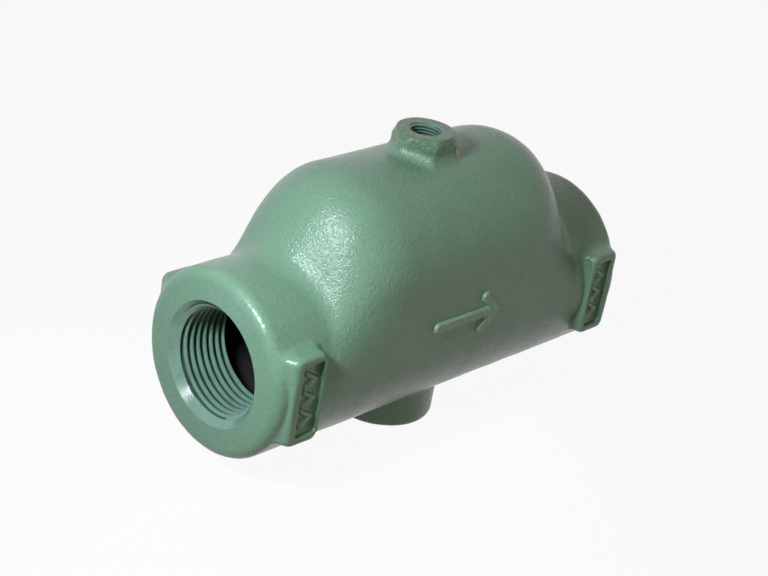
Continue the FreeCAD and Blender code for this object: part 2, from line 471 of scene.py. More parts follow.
@dataclass(frozen=True)
class TaperThread:
    """Tapered pipe thread in a hole with a chamfered mouth.

    Attributes:
        pitch: Distance between two crests.
        crest_radius: Radius at the crests, at the mouth.
        depth: Radial depth from crest to root.
        mouth_radius: Radius of the chamfer at the mouth.
        length: Length of the threaded stretch.
        rows_per_turn: Rows over one pitch.
        taper: Loss of radius for each unit of length.
        flank_gain: How steep the flanks are; over 0.5 it leaves narrow flats on crests and roots.
        shaded_share: Share of the flanks' depth past which cells take the painted shade of the roots.
    """

    pitch: float
    crest_radius: float
    depth: float
    mouth_radius: float
    length: float
    rows_per_turn: int = 8
    taper: float = 1 / 32
    flank_gain: float = 0.62
    shaded_share: float = 0.55

    def rows(self, turns: Array) -> tuple[Array, Array]:
        """Depth in the hole and radius of every point of the thread.

        Row i lies at the pitch times (i / rows per turn + turns), held between the mouth and the end, so
        that rows follow the helix. The radius is the crest's, less the taper, plus the depth times a
        clipped cosine of the place within a pitch, but never under the chamfer's cone.

        Args:
            turns: Share of a turn at each column, from 0 up to nearly 1.

        Returns:
            Depths and radii, both as rows by columns.
        """
        last = math.ceil(self.length / self.pitch * self.rows_per_turn) + 1
        rows = np.arange(-self.rows_per_turn, last + 1)[:, None] / self.rows_per_turn
        deep = np.clip(self.pitch * (rows + turns), 0, self.length)
        within = deep / self.pitch - turns
        root = np.clip(0.5 - self.flank_gain * np.cos(2 * math.pi * within), 0, 1)
        radius = self.crest_radius - self.taper * deep + self.depth * root
        return deep, np.maximum(radius, self.mouth_radius - deep)

    def patch(self, points: Array, deep: Array, radius: Array) -> Patch:
        """The thread's stretch, roots marked for painted shade: cells more than half way down the flanks.

        Args:
            points: The thread's points.
            deep: Their depths in the hole.
            radius: Their radii.

        Returns:
            The patch.
        """
        down = (radius - self.crest_radius + self.taper * deep) / self.depth
        mean = (down[:-1] + down[1:]) / 2
        # Painted shade: deep cells take the dark groove colour.
        grooved = (mean > self.shaded_share) & (deep[:-1] > self.mouth_radius - self.crest_radius)
        return Patch(points, Finish.THREAD, 0.0, self.rows_per_turn, grooved=grooved)


@dataclass
class PipePort:
    """A hub's face and the tapped hole from it into the chamber.

    Attributes:
        barrel: The barrel that it belongs to.
        end: 1 at the outlet, -1 at the inlet.
        thread: The thread.
        cored_radius: Radius of the cored passage behind the thread.
        face_steps: Rows over the face.
        passage_steps: Rows over each stretch of the passage.
    """

    barrel: Barrel
    end: int
    thread: TaperThread = TaperThread(
        pitch=2.209, crest_radius=15.05, depth=1.6, mouth_radius=17.95, length=17.5)
    cored_radius: float = 17.2
    face_steps: int = 7
    passage_steps: int = 2

    def patches(self) -> list[Patch]:
        """The face, the thread with its chamfer, and the passage.

        Returns:
            Patches from the hub's rim to the chamber's edge.
        """
        barrel = self.barrel
        angles = -self.end * barrel.angles
        face_x = self.end * barrel.half_length
        radii = np.linspace(barrel.radius - barrel.rim_round, self.thread.mouth_radius, self.face_steps + 1)
        face = barrel.ring(face_x, radii[:, None], angles)
        deep, radius = self.thread.rows(np.arange(barrel.around) / barrel.around)
        thread = barrel.ring(face_x - self.end * deep, radius, angles)
        thread_end = self.end * (barrel.half_length - self.thread.length)
        foot = self.end * barrel.foot
        wide = barrel.ring(thread_end, self.cored_radius, angles)
        inner = barrel.ring(foot, self.cored_radius, angles)
        edge = barrel.ring(foot, barrel.radius - barrel.wall, angles)
        rings = (thread[-1], wide, inner, edge)
        passage = stacked(*(straight_rows(*pair, self.passage_steps) for pair in zip(rings, rings[1:])))
        return [
            Patch(face, Finish.ENAMEL, np.linspace(1, 0, self.face_steps + 1)),
            self.thread.patch(thread, deep, radius),
            Patch(passage, Finish.IRON),
        ]


def ring_on(height: Height, plan: Array) -> Array:
    """Lift places in plan onto a surface that is given as a function of x and y."""
    return np.column_stack([plan, height(plan[:, 0], plan[:, 1])])


def rows_on(height: Height, start: Array, stop: Array, steps: int) -> Array:
    """Rows on a surface between two rings on it: straight in plan and lifted onto the surface.

    Args:
        height: The surface, as a function of x and y.
        start: First ring, as points by three.
        stop: Last ring, kept as it is.
        steps: Number of steps between them.

    Returns:
        Rows by points by three.
    """
    plans = straight_rows(start[:, :2], stop[:, :2], steps)
    rows = np.dstack([plans, height(plans[..., 0], plans[..., 1])])
    rows[-1] = stop
    return rows


@dataclass
class TappedBoss:
    """A boss on the crown or under the belly with a tapped hole into the chamber.

    Attributes:
        barrel: The barrel that carries it.
        block: The stretch of the barrel's outer grid that it takes the place of.
        chamber_block: The same stretch of the chamber's grid.
        face_height: Height of its outer face.
        thread: The thread.
        up: 1 where it points up, -1 where it points down.
        bore_relief: How much wider than the crests the hole is behind the thread.
        foot_round: Size of the fillet at its foot.
        around_steps: Rows from the block's border to the fillet, and from the hole to the chamber's.
        foot_steps: Rows over the fillet.
        level_rows: Rows at the mouth that take no waves, because they are machined flat.
    """

    barrel: Barrel
    block: Block
    chamber_block: Block
    face_height: float
    thread: TaperThread
    up: int
    bore_relief: float = 0.7
    foot_round: float = 2.2
    around_steps: int = 5
    foot_steps: int = 6
    level_rows: int = 5

    def bearings(self, border: Array) -> Array:
        """Direction of each column in plan, from +X towards +Y and running one way around the border."""
        return np.unwrap(np.arctan2(border[:, 1], border[:, 0]))

    def outline(self, bearings: Array) -> Array:
        """Distance of the wall from the boss's axis in each direction."""
        raise NotImplementedError

    def head_rows(self, wall_foot: Array, bearings: Array) -> Array:
        """Rows from the ring at the top of the foot's fillet over the wall to the mouth of the hole."""
        raise NotImplementedError

    def circle(self, radius: float | Array, height: float | Array, bearings: Array) -> Array:
        """Points around the boss's axis: the radius times the bearing's cosine and sine, and the height."""
        radius, height, bearings = np.broadcast_arrays(radius, height, bearings)
        return np.stack([radius * np.cos(bearings), radius * np.sin(bearings), height], axis=-1)

    def patches(self, outer: Array, chamber: Array) -> list[Patch]:
        """The boss, its thread, and the stretches of wall inside and outside around it.

        Args:
            outer: The barrel's outer grid.
            chamber: The chamber's grid.

        Returns:
            Patches from the outer block's border to the chamber block's.
        """
        height = self.barrel.crown_height if self.up > 0 else self.barrel.belly_height
        outside = height(0)
        border = self.block.border(outer)
        bearings = self.bearings(border)
        wall = self.outline(bearings)
        skirt = ring_on(outside, self.circle(wall + self.foot_round, 0, bearings)[:, :2])
        corner = ring_on(outside, self.circle(wall, 0, bearings)[:, :2])
        wall_foot = corner + np.array([0, 0, self.up * self.foot_round])
        around = rows_on(outside, skirt, border, self.around_steps)[::-1]
        fillet = bent_rows(skirt, corner, wall_foot, self.foot_steps)
        body = stacked(around, fillet, self.head_rows(wall_foot, bearings))

        turns = np.abs(bearings - bearings[0]) / (2 * math.pi)
        deep, radius = self.thread.rows(turns)
        thread = self.circle(radius, self.face_height - self.up * deep, bearings)

        inside = height(self.barrel.wall)
        bore = self.thread.crest_radius + self.bore_relief
        relief = self.circle(bore, self.face_height - self.up * self.thread.length, bearings)
        lip = ring_on(inside, relief[:, :2])
        inner_border = self.chamber_block.border(chamber)
        inner = stacked(straight_rows(thread[-1], relief, 1), straight_rows(relief, lip, 2),
                        rows_on(inside, lip, inner_border, self.around_steps))
        fade = np.ones(len(body))
        fade[-self.level_rows:] = 0.0
        return [
            Patch(body, Finish.ENAMEL, fade),
            self.thread.patch(thread, deep, radius),
            Patch(inner, Finish.IRON),
        ]


@dataclass
class VentBoss(TappedBoss):
    """Hexagonal boss on the crown, its corners towards the ports and its top turned down to a round face.

    Attributes:
        flats: Distance across the flats.
        corner_round: Rounding of the upright corners.
        face_radius: Radius of the round face.
        face_slope: How steeply the turned cone falls away from the face.
        edge_round: Rounding of the face's edge.
        corner_crowding: How much closer the columns stand at the corners, from 0 to 1.
        head_steps: Rows over the wall, the cone's foot, the cone, the edge and the face.
    """

    foot_round: float = 3.0
    flats: float = 17.0
    corner_round: float = 1.9
    face_radius: float = 8.35
    face_slope: float = 2.3
    edge_round: float = 0.4
    corner_crowding: float = 0.72
    head_steps: tuple[int, ...] = (4, 3, 2, 3, 4)

    def bearings(self, border: Array) -> Array:
        """Directions near those of the border, with a column on every corner and more beside it.

        Args:
            border: The border of the block in the outer grid.

        Returns:
            Angles from +X towards +Y, running down.
        """
        plain = super().bearings(border)
        sixth = math.pi / 3
        corners = np.arange(1, -7, -1) * sixth
        count = len(plain)
        whole_turn = np.concatenate([plain + 2 * math.pi, plain, plain - 2 * math.pi])
        numbers = np.arange(-count, 2 * count)
        knots = np.round(np.interp(-corners, -whole_turn, numbers))
        stage = np.interp(np.arange(count), knots, np.arange(len(corners)))
        crowded = stage - self.corner_crowding * np.sin(2 * math.pi * stage) / (2 * math.pi)
        return corners[0] - crowded * sixth

    def outline(self, bearings: Array) -> Array:
        """Hexagon with rounded corners: half the flats over the cosine, or the corner circle's far side.

        Args:
            bearings: Directions in plan.

        Returns:
            One distance for each direction.
        """
        half = self.flats / 2
        off_corner = np.mod(bearings + math.pi / 6, math.pi / 3) - math.pi / 6
        centre = (half - self.corner_round) / math.cos(math.pi / 6)
        reach = math.atan2(self.corner_round / 2, centre + self.corner_round * math.cos(math.pi / 6))
        on_flat = half / np.cos(math.pi / 6 - np.abs(off_corner))
        under_root = self.corner_round ** 2 - (centre * np.sin(off_corner)) ** 2
        on_corner = centre * np.cos(off_corner) + np.sqrt(np.maximum(under_root, 0))
        return np.where(np.abs(off_corner) < reach, on_corner, on_flat)

    def head_rows(self, wall_foot: Array, bearings: Array) -> Array:
        """Rows up the hexagon's wall, over the turned cone and the face to the mouth.

        The bends at the cone's foot and at the face's edge start and stop at shares of the edge's rounding.

        Args:
            wall_foot: The ring at the top of the fillet.
            bearings: Directions in plan.

        Returns:
            Rows by points by three.
        """
        wall = self.outline(bearings)
        top = self.face_height
        rim = np.minimum(self.face_radius, wall - 0.3 * self.edge_round)
        cone_foot = top - (wall - rim) * self.face_slope - self.edge_round
        wall_top = self.circle(wall, cone_foot, bearings)
        cone_start = self.circle(wall, cone_foot + 0.5 * self.edge_round, bearings)
        low_share = np.minimum(0.4 * self.edge_round, wall - rim)
        cone_low = self.circle(wall - low_share, cone_foot + 0.8 * self.edge_round, bearings)
        edge = self.circle(rim, top, bearings)
        edge_low = self.circle(rim + 0.3 * self.edge_round, top - 0.7 * self.edge_round, bearings)
        face_start = self.circle(rim - self.edge_round, top, bearings)
        mouth = self.circle(self.thread.mouth_radius, top, bearings)
        wall_steps, foot_steps, cone_steps, edge_steps, face_steps = self.head_steps
        return stacked(
            straight_rows(wall_foot, wall_top, wall_steps),
            bent_rows(wall_top, cone_start, cone_low, foot_steps),
            straight_rows(cone_low, edge_low, cone_steps),
            bent_rows(edge_low, edge, face_start, edge_steps),
            straight_rows(face_start, mouth, face_steps))


@dataclass
class TankBoss(TappedBoss):
    """Round boss under the barrel; the body stands on its lower face.

    Attributes:
        radius: Radius of its wall.
        edge_round: Rounding of the lower edge.
        head_steps: Rows over the wall, the edge and the face.
    """

    radius: float = 15.9
    foot_round: float = 0.9
    edge_round: float = 1.7
    head_steps: tuple[int, ...] = (5, 5, 4)

    def outline(self, bearings: Array) -> Array:
        """A circle: the same distance in each direction."""
        return np.full(len(bearings), self.radius)

    def head_rows(self, wall_foot: Array, bearings: Array) -> Array:
        """Rows down the wall, around the lower edge and over the face to the mouth.

        Args:
            wall_foot: The ring at the top of the fillet.
            bearings: Directions in plan.

        Returns:
            Rows by points by three.
        """
        face = self.face_height
        wall_end = self.circle(self.radius, face + self.edge_round, bearings)
        edge = self.circle(self.radius, face, bearings)
        face_start = self.circle(self.radius - self.edge_round, face, bearings)
        mouth = self.circle(self.thread.mouth_radius, face, bearings)
        wall_steps, edge_steps, face_steps = self.head_steps
        return stacked(straight_rows(wall_foot, wall_end, wall_steps),
                       bent_rows(wall_end, edge, face_start, edge_steps),
                       straight_rows(face_start, mouth, face_steps))


@dataclass
class WrenchPad:
    """Drafted pad on the side of a hub with a sunk panel, made for the outlet's +Y side.

    Every ring is a rectangle with rounded corners in plan, along X and Z.

    Attributes:
        barrel: The barrel that carries it.
        block: The stretch of the outer grid that it takes the place of.
        across: Width over two opposite pads.
        from_face: From the hub's face to the pad.
        length: Length of the pad's face along the pipe.
        height: Height of the pad's face.
        corner: Radius of the face's corners.
        lift: Height of the pad's middle over the pipe axis.
        draft: Slope of the walls in degrees.
        end_slope: How much further the wall towards the hub's face leans, for each unit of depth.
        edge_round: Rounding of the outer edge.
        foot_round: Largest fillet at the foot.
        rim_margin: How far inside the hub's face the fillet ends at the latest.
        panel_length: Length of the sunk panel.
        panel_height: Height of the sunk panel.
        panel_shift: How far the panel lies off the pad's middle, away from the hub's face where negative.
        panel_corner: Radius of the panel's corners.
        panel_depth: Depth of the panel.
        panel_round: Rounding of the panel's edges.
        corner_steps: Columns over half a corner.
        first_depth: Depth at which the search for the wall's foot on the hub starts.
        foot_tries: Rounds of that search.
        edge_share: Largest share of the wall's height that the edge's rounding takes.
        foot_share: Largest share of it that the foot's fillet takes.
    """

    barrel: Barrel
    block: Block
    across: float
    from_face: float = 4.4
    length: float = 10.8
    height: float = 26.6
    lift: float = 0.5
    corner: float = 2.2
    draft: float = 6.0
    end_slope: float = 0.38
    edge_round: float = 1.25
    foot_round: float = 1.8
    rim_margin: float = 0.8
    panel_length: float = 7.5
    panel_height: float = 21.8
    panel_shift: float = -0.95
    panel_corner: float = 1.3
    panel_depth: float = 1.45
    panel_round: float = 0.6
    corner_steps: int = 3
    first_depth: float = 2.0
    foot_tries: int = 4
    edge_share: float = 0.45
    foot_share: float = 0.5

    @property
    def face(self) -> float:
        """Reach of the pad's face along Y."""
        return self.across / 2

    @property
    def floor(self) -> float:
        """Reach of the panel's floor along Y."""
        return self.face - self.panel_depth

    @property
    def middle(self) -> float:
        """Place of the pad's middle along the pipe."""
        return self.barrel.half_length - self.from_face - self.length / 2

    def directions(self) -> tuple[Array, Array]:
        """Where each column meets a rectangle, and which way the rectangle faces there.

        Columns start in the middle of the corner at high X and low Z and run towards high Z.

        Returns:
            Places from -1 to 1 on both axes, and unit vectors outwards, both as columns by two.
        """
        down = self.block.rows[1] - self.block.rows[0]
        across = self.block.columns[1] - self.block.columns[0]
        places, turns = [], []
        corners = np.array([[1, -1], [1, 1], [-1, 1], [-1, -1], [1, -1]], float)
        for side, steps in enumerate((across, down, across, down)):
            turn = math.pi / 2 * side
            straight = steps - 2 * self.corner_steps
            share = np.concatenate([
                np.zeros(self.corner_steps), np.linspace(0, 1, straight + 1),
                np.ones(self.corner_steps - 1)])
            half_turn = math.pi / 4 * np.arange(self.corner_steps) / self.corner_steps
            turns.append(np.concatenate([
                turn - math.pi / 4 + half_turn, np.full(straight + 1, turn), turn + half_turn[1:]]))
            places.append(corners[side] + (corners[side + 1] - corners[side]) * share[:, None])
        turned = np.concatenate(turns)
        return np.concatenate(places), np.column_stack([np.cos(turned), np.sin(turned)])

    def ring(self, length: Array | float, height: Array | float, corner: float,
             reach: Array | float) -> Array:
        """A rounded rectangle at some reach along Y.

        Args:
            length: Full length along the pipe.
            height: Full height.
            corner: Radius of its corners.
            reach: Place along Y.

        Returns:
            Points by three.
        """
        places, outwards = self.directions()
        half = np.column_stack(np.broadcast_arrays(length, height, places[:, 0])[:2]) / 2
        plan = places * (half - corner) + outwards * corner
        reach = np.broadcast_to(reach, len(plan))
        middle_height = self.barrel.axis_height + self.lift
        return np.column_stack([self.middle + plan[:, 0], reach, middle_height + plan[:, 1]])

    def panel_ring(self, wider: float, reach: float) -> Array:
        """A ring along the sunk panel's border.

        Args:
            wider: How far outside the border it runs.
            reach: Place along Y.

        Returns:
            Points by three.
        """
        corner = max(self.panel_corner + min(wider, 0), 0)
        ring = self.ring(self.panel_length + 2 * wider, self.panel_height + 2 * wider, corner, reach)
        return ring + np.array([self.panel_shift, 0, 0])

    def wall_at(self, reach: Array) -> Array:
        """The drafted wall at some reach along Y.

        Args:
            reach: Place along Y of each column.

        Returns:
            Points by three.
        """
        depth = self.face - reach
        spread = 2 * depth * math.tan(math.radians(self.draft))
        wall = self.ring(self.length + spread, self.height + spread, self.corner, reach)
        _, outwards = self.directions()
        leaning = wall[:, 0] + self.end_slope * depth * np.maximum(outwards[:, 0], 0)
        wall[:, 0] = np.minimum(leaning, self.barrel.half_length - 2 * self.rim_margin)
        return wall

    def hub_under(self, points: Array) -> Array:
        """Reach of the hub's side under each point."""
        return self.barrel.hub_side(points[:, 0], points[:, 2] - self.barrel.axis_height)

    def patch(self, outer: Array) -> Patch:
        """The pad from the border of its block to the middle of its panel.

        Args:
            outer: The barrel's outer grid.

        Returns:
            The patch for the outlet's +Y side.
        """
        face, floor, lift = self.face, self.floor, self.panel_round
        border = self.block.border(outer)
        reach = np.full(len(border), face - self.first_depth)
        for _ in range(self.foot_tries):
            reach = self.hub_under(self.wall_at(reach))
        wall_foot = self.wall_at(reach)
        tall = face - reach
        edge = np.minimum(self.edge_round, self.edge_share * tall)
        foot = np.minimum(self.foot_round, self.foot_share * tall)
        _, outwards = self.directions()
        skirt = wall_foot.copy()
        furthest = self.barrel.half_length - self.rim_margin
        skirt[:, 0] = np.minimum(skirt[:, 0] + outwards[:, 0] * foot, furthest)
        skirt[:, 2] += outwards[:, 1] * foot
        skirt[:, 1] = self.hub_under(skirt)
        around = straight_rows(skirt, border, 3)
        around[..., 1] = self.hub_under(around.reshape(-1, 3)).reshape(around.shape[:2])
        around[-1] = border
        wall_low = self.wall_at(reach + foot)
        wall_high = self.wall_at(face - edge)
        frame_corner = self.corner - self.edge_round / 2
        frame_start = self.ring(self.length - 2 * edge, self.height - 2 * edge, frame_corner, face)
        wall_edge = self.wall_at(np.full(len(border), face))
        opening, lip, under_lip, above_floor, floor_edge, floor_start, floor_middle = (
            self.panel_ring(wider, level) for wider, level in (
                (lift, face), (0, face), (0, face - lift), (0, floor + lift), (0, floor), (-lift, floor),
                (-self.panel_length / 2, floor)))
        return Patch(stacked(
            around[::-1],
            bent_rows(skirt, wall_foot, wall_low, 4),
            straight_rows(wall_low, wall_high, 2),
            bent_rows(wall_high, wall_edge, frame_start, 4),
            straight_rows(frame_start, opening, 1),
            bent_rows(opening, lip, under_lip, 2),
            straight_rows(under_lip, above_floor, 1),
            bent_rows(above_floor, floor_edge, floor_start, 2),
            straight_rows(floor_start, floor_middle, 3)), Finish.ENAMEL, 1.0)


@dataclass
class Unevenness:
    """The slow waves that moulding sand and thick enamel leave on a casting.

    Attributes:
        height: Height of the largest wave.
        lengths: Wave lengths in millimetres.
        turn_step: Turn from one wave's direction to the next one's, in radians.
        slants: Rise of the first direction, and fall of the second along X.
    """

    height: float = 0.05
    lengths: tuple[float, ...] = (23.0, 14.0, 9.0)
    turn_step: float = 2.4
    slants: tuple[float, float] = (0.6, -0.5)

    def heights(self, points: Array) -> Array:
        """Sum of sine waves in slanted directions, each lower in proportion to its length.

        Args:
            points: Points in millimetres.

        Returns:
            One height for each point.
        """
        total = np.zeros(len(points))
        for number, length in enumerate(self.lengths):
            turn = self.turn_step * number
            one = points @ np.array([math.cos(turn), math.sin(turn), self.slants[0]])
            other = points @ np.array([self.slants[1], math.cos(turn + 1), math.sin(turn + 1)])
            share = length / self.lengths[0]
            along = np.sin(2 * math.pi * one / length)
            total += share * along * np.sin(2 * math.pi * other / length + number)
        return self.height * total


@dataclass
class Casting:
    """The iron body: barrel, dome, hubs, bosses, pads, ports and chamber as one closed skin.

    Attributes:
        barrel: The barrel.
        pad_width: Width over two opposite wrench pads.
        top: Height of the vent boss's face.
        unevenness: The waves on its enamelled surfaces.
        vent_reach: Rows and columns that the vent boss takes on each side of its middle.
        tank_reach: Rows and columns that the tank boss takes so.
        pad_rows: First and last row that a pad takes.
        pad_columns: Columns that it takes on each side of its middle.
        vent_thread: Thread of the vent boss.
        tank_thread: Thread of the tank boss.
    """

    barrel: Barrel
    pad_width: float
    top: float
    unevenness: Unevenness = field(default_factory=Unevenness)
    vent_reach: tuple[int, int] = (16, 8)
    tank_reach: tuple[int, int] = (20, 20)
    pad_rows: tuple[int, int] = (2, 24)
    pad_columns: int = 17
    vent_thread: TaperThread = TaperThread(
        pitch=0.941, crest_radius=4.3, depth=0.6, mouth_radius=4.95, length=10.8)
    tank_thread: TaperThread = TaperThread(
        pitch=1.814, crest_radius=9.35, depth=1.3, mouth_radius=10.9, length=11.2)

    @property
    def pad(self) -> WrenchPad:
        """The wrench pad at the outlet's +Y side."""
        columns = (-self.pad_columns, self.pad_columns)
        return WrenchPad(self.barrel, Block(self.pad_rows, columns), self.pad_width)

    def block(self, grid: Array, column: int, reach: tuple[int, int]) -> Block:
        """The rectangle around a grid's middle row and a column that reaches so many rows and columns."""
        row = len(grid) // 2
        return Block((row - reach[0], row + reach[0]), (column - reach[1], column + reach[1]))

    def patches(self) -> list[Patch]:
        """All stretches of the skin.

        Returns:
            Patches that close on each other.
        """
        barrel = self.barrel
        outer = barrel.outer_rows()
        chamber = barrel.dome_rows(barrel.wall, barrel.chamber_end_steps)
        quarter = barrel.around // 4
        vent = VentBoss(barrel, self.block(outer, quarter, self.vent_reach),
                        self.block(chamber, quarter, self.vent_reach), self.top, self.vent_thread, 1)
        tank = TankBoss(barrel, self.block(outer, 3 * quarter, self.tank_reach),
                        self.block(chamber, 3 * quarter, self.tank_reach), 0.0, self.tank_thread, -1)

        outer_kept = np.ones((len(outer) - 1, barrel.around), bool)
        chamber_kept = np.ones((len(chamber) - 1, barrel.around), bool)
        for boss in (vent, tank):
            boss.block.clear(outer_kept)
            boss.chamber_block.clear(chamber_kept)
        first, last = self.pad_rows
        for rows in (self.pad_rows, (len(outer) - 1 - last, len(outer) - 1 - first)):
            for middle in (0, 2 * quarter):
                Block(rows, (middle - self.pad_columns, middle + self.pad_columns)).clear(outer_kept)

        stretches = [Patch(outer, Finish.ENAMEL, 1.0, kept=outer_kept),
                     Patch(chamber, Finish.IRON, kept=chamber_kept)]
        stretches += PipePort(barrel, 1).patches() + PipePort(barrel, -1).patches()
        stretches += vent.patches(outer, chamber) + tank.patches(outer, chamber)
        one_pad = self.pad.patch(outer)
        stretches += [one_pad.mirrored((x, y, 1)) for x in (1, -1) for y in (1, -1)]
        return stretches

    def build(self, materials: list[bpy.types.Material]) -> bpy.types.Object:
        """Make the casting and let it stand for the plain solid.

        Args:
            materials: Materials in the order of the finishes.

        Returns:
            The piece.
        """
        mesh, weights = joined_mesh("casting", self.patches())
        count = len(mesh.vertices)
        points = np.empty(count * 3)
        normals = np.empty(count * 3, np.float32)
        mesh.vertices.foreach_get("co", points)
        mesh.vertices.foreach_get("normal", normals)
        points = points.reshape(-1, 3)
        waves = self.unevenness.heights(points / MM) * weights * MM
        mesh.vertices.foreach_set("co", (points + normals.reshape(-1, 3) * waves[:, None]).ravel())
        piece = place_piece("casting", mesh, materials, sharp_degrees=40)
        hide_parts("body_casting")
        return piece


@dataclass(frozen=True)
class Relief:
    """Soft raised strokes on a plane of constant Y, as moulding leaves them.

    Attributes:
        strokes: Polylines of (x, z) points, z from the pipe axis.
        width: Width of a stroke at the plane.
        rise: Height of a stroke over the plane.
        plane: Distance of the plane from the middle.
        side: Side of the body, 1 or -1.
        sunk: How deep the relief's ground lies under the plane.
        slope_width: Width over which a stroke rises from the ground to its full height.
        spacing: Distance between the grid's lines.
    """

    strokes: tuple[Stroke, ...]
    width: float
    rise: float
    plane: float
    side: int
    sunk: float = 0.5
    slope_width: float = 0.9
    spacing: float = 0.22

    def distance(self, x: Array, z: Array) -> Array:
        """Distance of each point from the nearest stroke's middle line.

        The foot of a point on a piece of line is held between its ends, so ends come out round.

        Args:
            x: Places along the pipe.
            z: Heights over the pipe axis.

        Returns:
            Distances, shaped as the places are.
        """
        nearest = np.full(np.broadcast(x, z).shape, np.inf)
        for stroke in self.strokes:
            for (x_from, z_from), (x_to, z_to) in zip(stroke, stroke[1:]):
                run, climb = x_to - x_from, z_to - z_from
                share = ((x - x_from) * run + (z - z_from) * climb) / (run ** 2 + climb ** 2)
                share = np.clip(share, 0, 1)
                away = np.hypot(x - x_from - share * run, z - z_from - share * climb)
                nearest = np.minimum(nearest, away)
        return nearest

    def patches(self, axis_height: float) -> list[Patch]:
        """The relief as a closed slab whose ground is hidden in the iron.

        The height runs from the ground to the top as 3t squared less 2t cubed, where t grows from 0 to 1
        over the slope's width inside the stroke's border. A wall goes down from the ground's border, and
        the back is a fan from its foot to the middle.

        Args:
            axis_height: Height of the pipe axis.

        Returns:
            The front with its wall, and the back.
        """
        corners = np.array([point for stroke in self.strokes for point in stroke])
        margin = self.width
        low, high = corners.min(axis=0) - margin, corners.max(axis=0) + margin
        counts = np.ceil((high - low) / self.spacing).astype(int) + 1
        x = np.linspace(low[0], high[0], counts[0])[:, None]
        z = np.linspace(low[1], high[1], counts[1])[None, :]
        border = self.width / 2 + self.slope_width / 2
        within = np.clip((border - self.distance(x, z)) / self.slope_width, 0, 1)
        height = -self.sunk + (self.rise + self.sunk) * within ** 2 * (3 - 2 * within)
        height[[0, -1], :] = -self.sunk
        height[:, [0, -1]] = -self.sunk
        x, z = np.broadcast_arrays(x, z + axis_height)
        face = np.dstack([x, self.side * (self.plane + height), z])
        front = np.pad(face, ((1, 1), (1, 1), (0, 0)), "edge")
        outermost = np.ones(front.shape[:2], bool)
        outermost[1:-1, 1:-1] = False
        front[outermost, 1] = self.side * (self.plane - 2 * self.sunk)
        last_row, last_column = front.shape[0] - 1, front.shape[1] - 1
        whole = np.ones((last_row, last_column + 1), bool)
        whole[:, -1] = False
        foot = Block((0, last_row), (0, last_column)).border(front)
        back = np.stack([foot, np.broadcast_to(foot.mean(axis=0), foot.shape)])
        return [Patch(front, Finish.ENAMEL, kept=whole), Patch(back, Finish.ENAMEL)]


@dataclass
class FlowMarks:
    """Raised marks that show which way the stream runs: chevrons in the pads and an arrow on the side.

    Attributes:
        barrel: The barrel that carries them.
        pad: The pad whose panel holds a row of chevrons.
        chevron_width: Width of a chevron's stroke.
        chevron_rise: Its height over the panel.
        chevron_half_length: Half a chevron's length along the pipe.
        chevron_half_height: Half its height.
        chevron_pitch: From one chevron to the next.
        arrow_width: Width of the arrow's strokes.
        arrow_rise: Their height over the side.
        arrow_half_length: Half the arrow's length.
        arrow_head_length: Length of its head.
        arrow_head_half_height: Half the head's height.
        arrow_height: Height of its shaft over the pipe axis.
    """

    barrel: Barrel
    pad: WrenchPad
    chevron_width: float = 1.6
    chevron_rise: float = 0.9
    chevron_half_length: float = 1.7
    chevron_half_height: float = 2.2
    chevron_pitch: float = 5.8
    arrow_width: float = 3.3
    arrow_rise: float = 0.85
    arrow_half_length: float = 12.0
    arrow_head_length: float = 5.0
    arrow_head_half_height: float = 5.2
    arrow_height: float = 8.0

    def chevron(self, x: float, z: float, half_length: float, half_height: float) -> Stroke:
        """Middle line of a chevron around a place that points along the flow."""
        back = x - half_length
        return ((back, z - half_height), (x + half_length, z), (back, z + half_height))

    def arrow(self) -> Relief:
        """The arrow on the flat of the near side.

        Returns:
            The relief.
        """
        tip = self.arrow_half_length
        head = self.chevron(tip - self.arrow_head_length / 2, self.arrow_height,
                            self.arrow_head_length / 2, self.arrow_head_half_height)
        shaft = ((-tip, self.arrow_height), (tip, self.arrow_height))
        return Relief((shaft, head), self.arrow_width, self.arrow_rise, self.barrel.radius, -1)

    def chevrons(self, x: float, side: int) -> Relief:
        """The row of chevrons in one pad.

        Args:
            x: Place of the pad's middle along the pipe.
            side: Side of the body, 1 or -1.

        Returns:
            The relief.
        """
        heights = [self.pad.lift + step * self.chevron_pitch for step in (-1, 0, 1)]
        marks = tuple(self.chevron(x, z, self.chevron_half_length, self.chevron_half_height)
                      for z in heights)
        return Relief(marks, self.chevron_width, self.chevron_rise, self.pad.floor, side)

    def build(self, material: bpy.types.Material) -> bpy.types.Object:
        """Make all marks as one piece.

        Args:
            material: The paler copy of the enamel on them, a painted highlight.

        Returns:
            The piece.
        """
        middle = self.pad.middle + self.pad.panel_shift
        reliefs = [self.chevrons(x, side) for x in (-middle, middle) for side in (-1, 1)]
        reliefs.append(self.arrow())
        patches = [patch for relief in reliefs for patch in relief.patches(self.barrel.axis_height)]
        mesh, _ = joined_mesh("flow_marks", patches)
        return place_piece("flow_marks", mesh, [material], sharp_degrees=60)


def linear_colour(code: str) -> tuple[float, float, float, float]:
    """Turn an sRGB hex value into a linear colour.

    Each channel is divided by 12.92 where it is dark, and otherwise taken as ((c + 0.055) / 1.055) to the
    power of 2.4.

    Args:
        code: Six hex digits after a hash.

    Returns:
        Red, green, blue and an opacity of 1.
    """
    channels = [int(code[start:start + 2], 16) / 255 for start in (1, 3, 5)]
    linear = [c / 12.92 if c <= 0.04045 else ((c + 0.055) / 1.055) ** 2.4 for c in channels]
    return (*linear, 1.0)


def per_metre(size_mm: float) -> float:
    """Scale of a pattern whose features measure so many millimetres."""
    return 1 / (size_mm * MM)


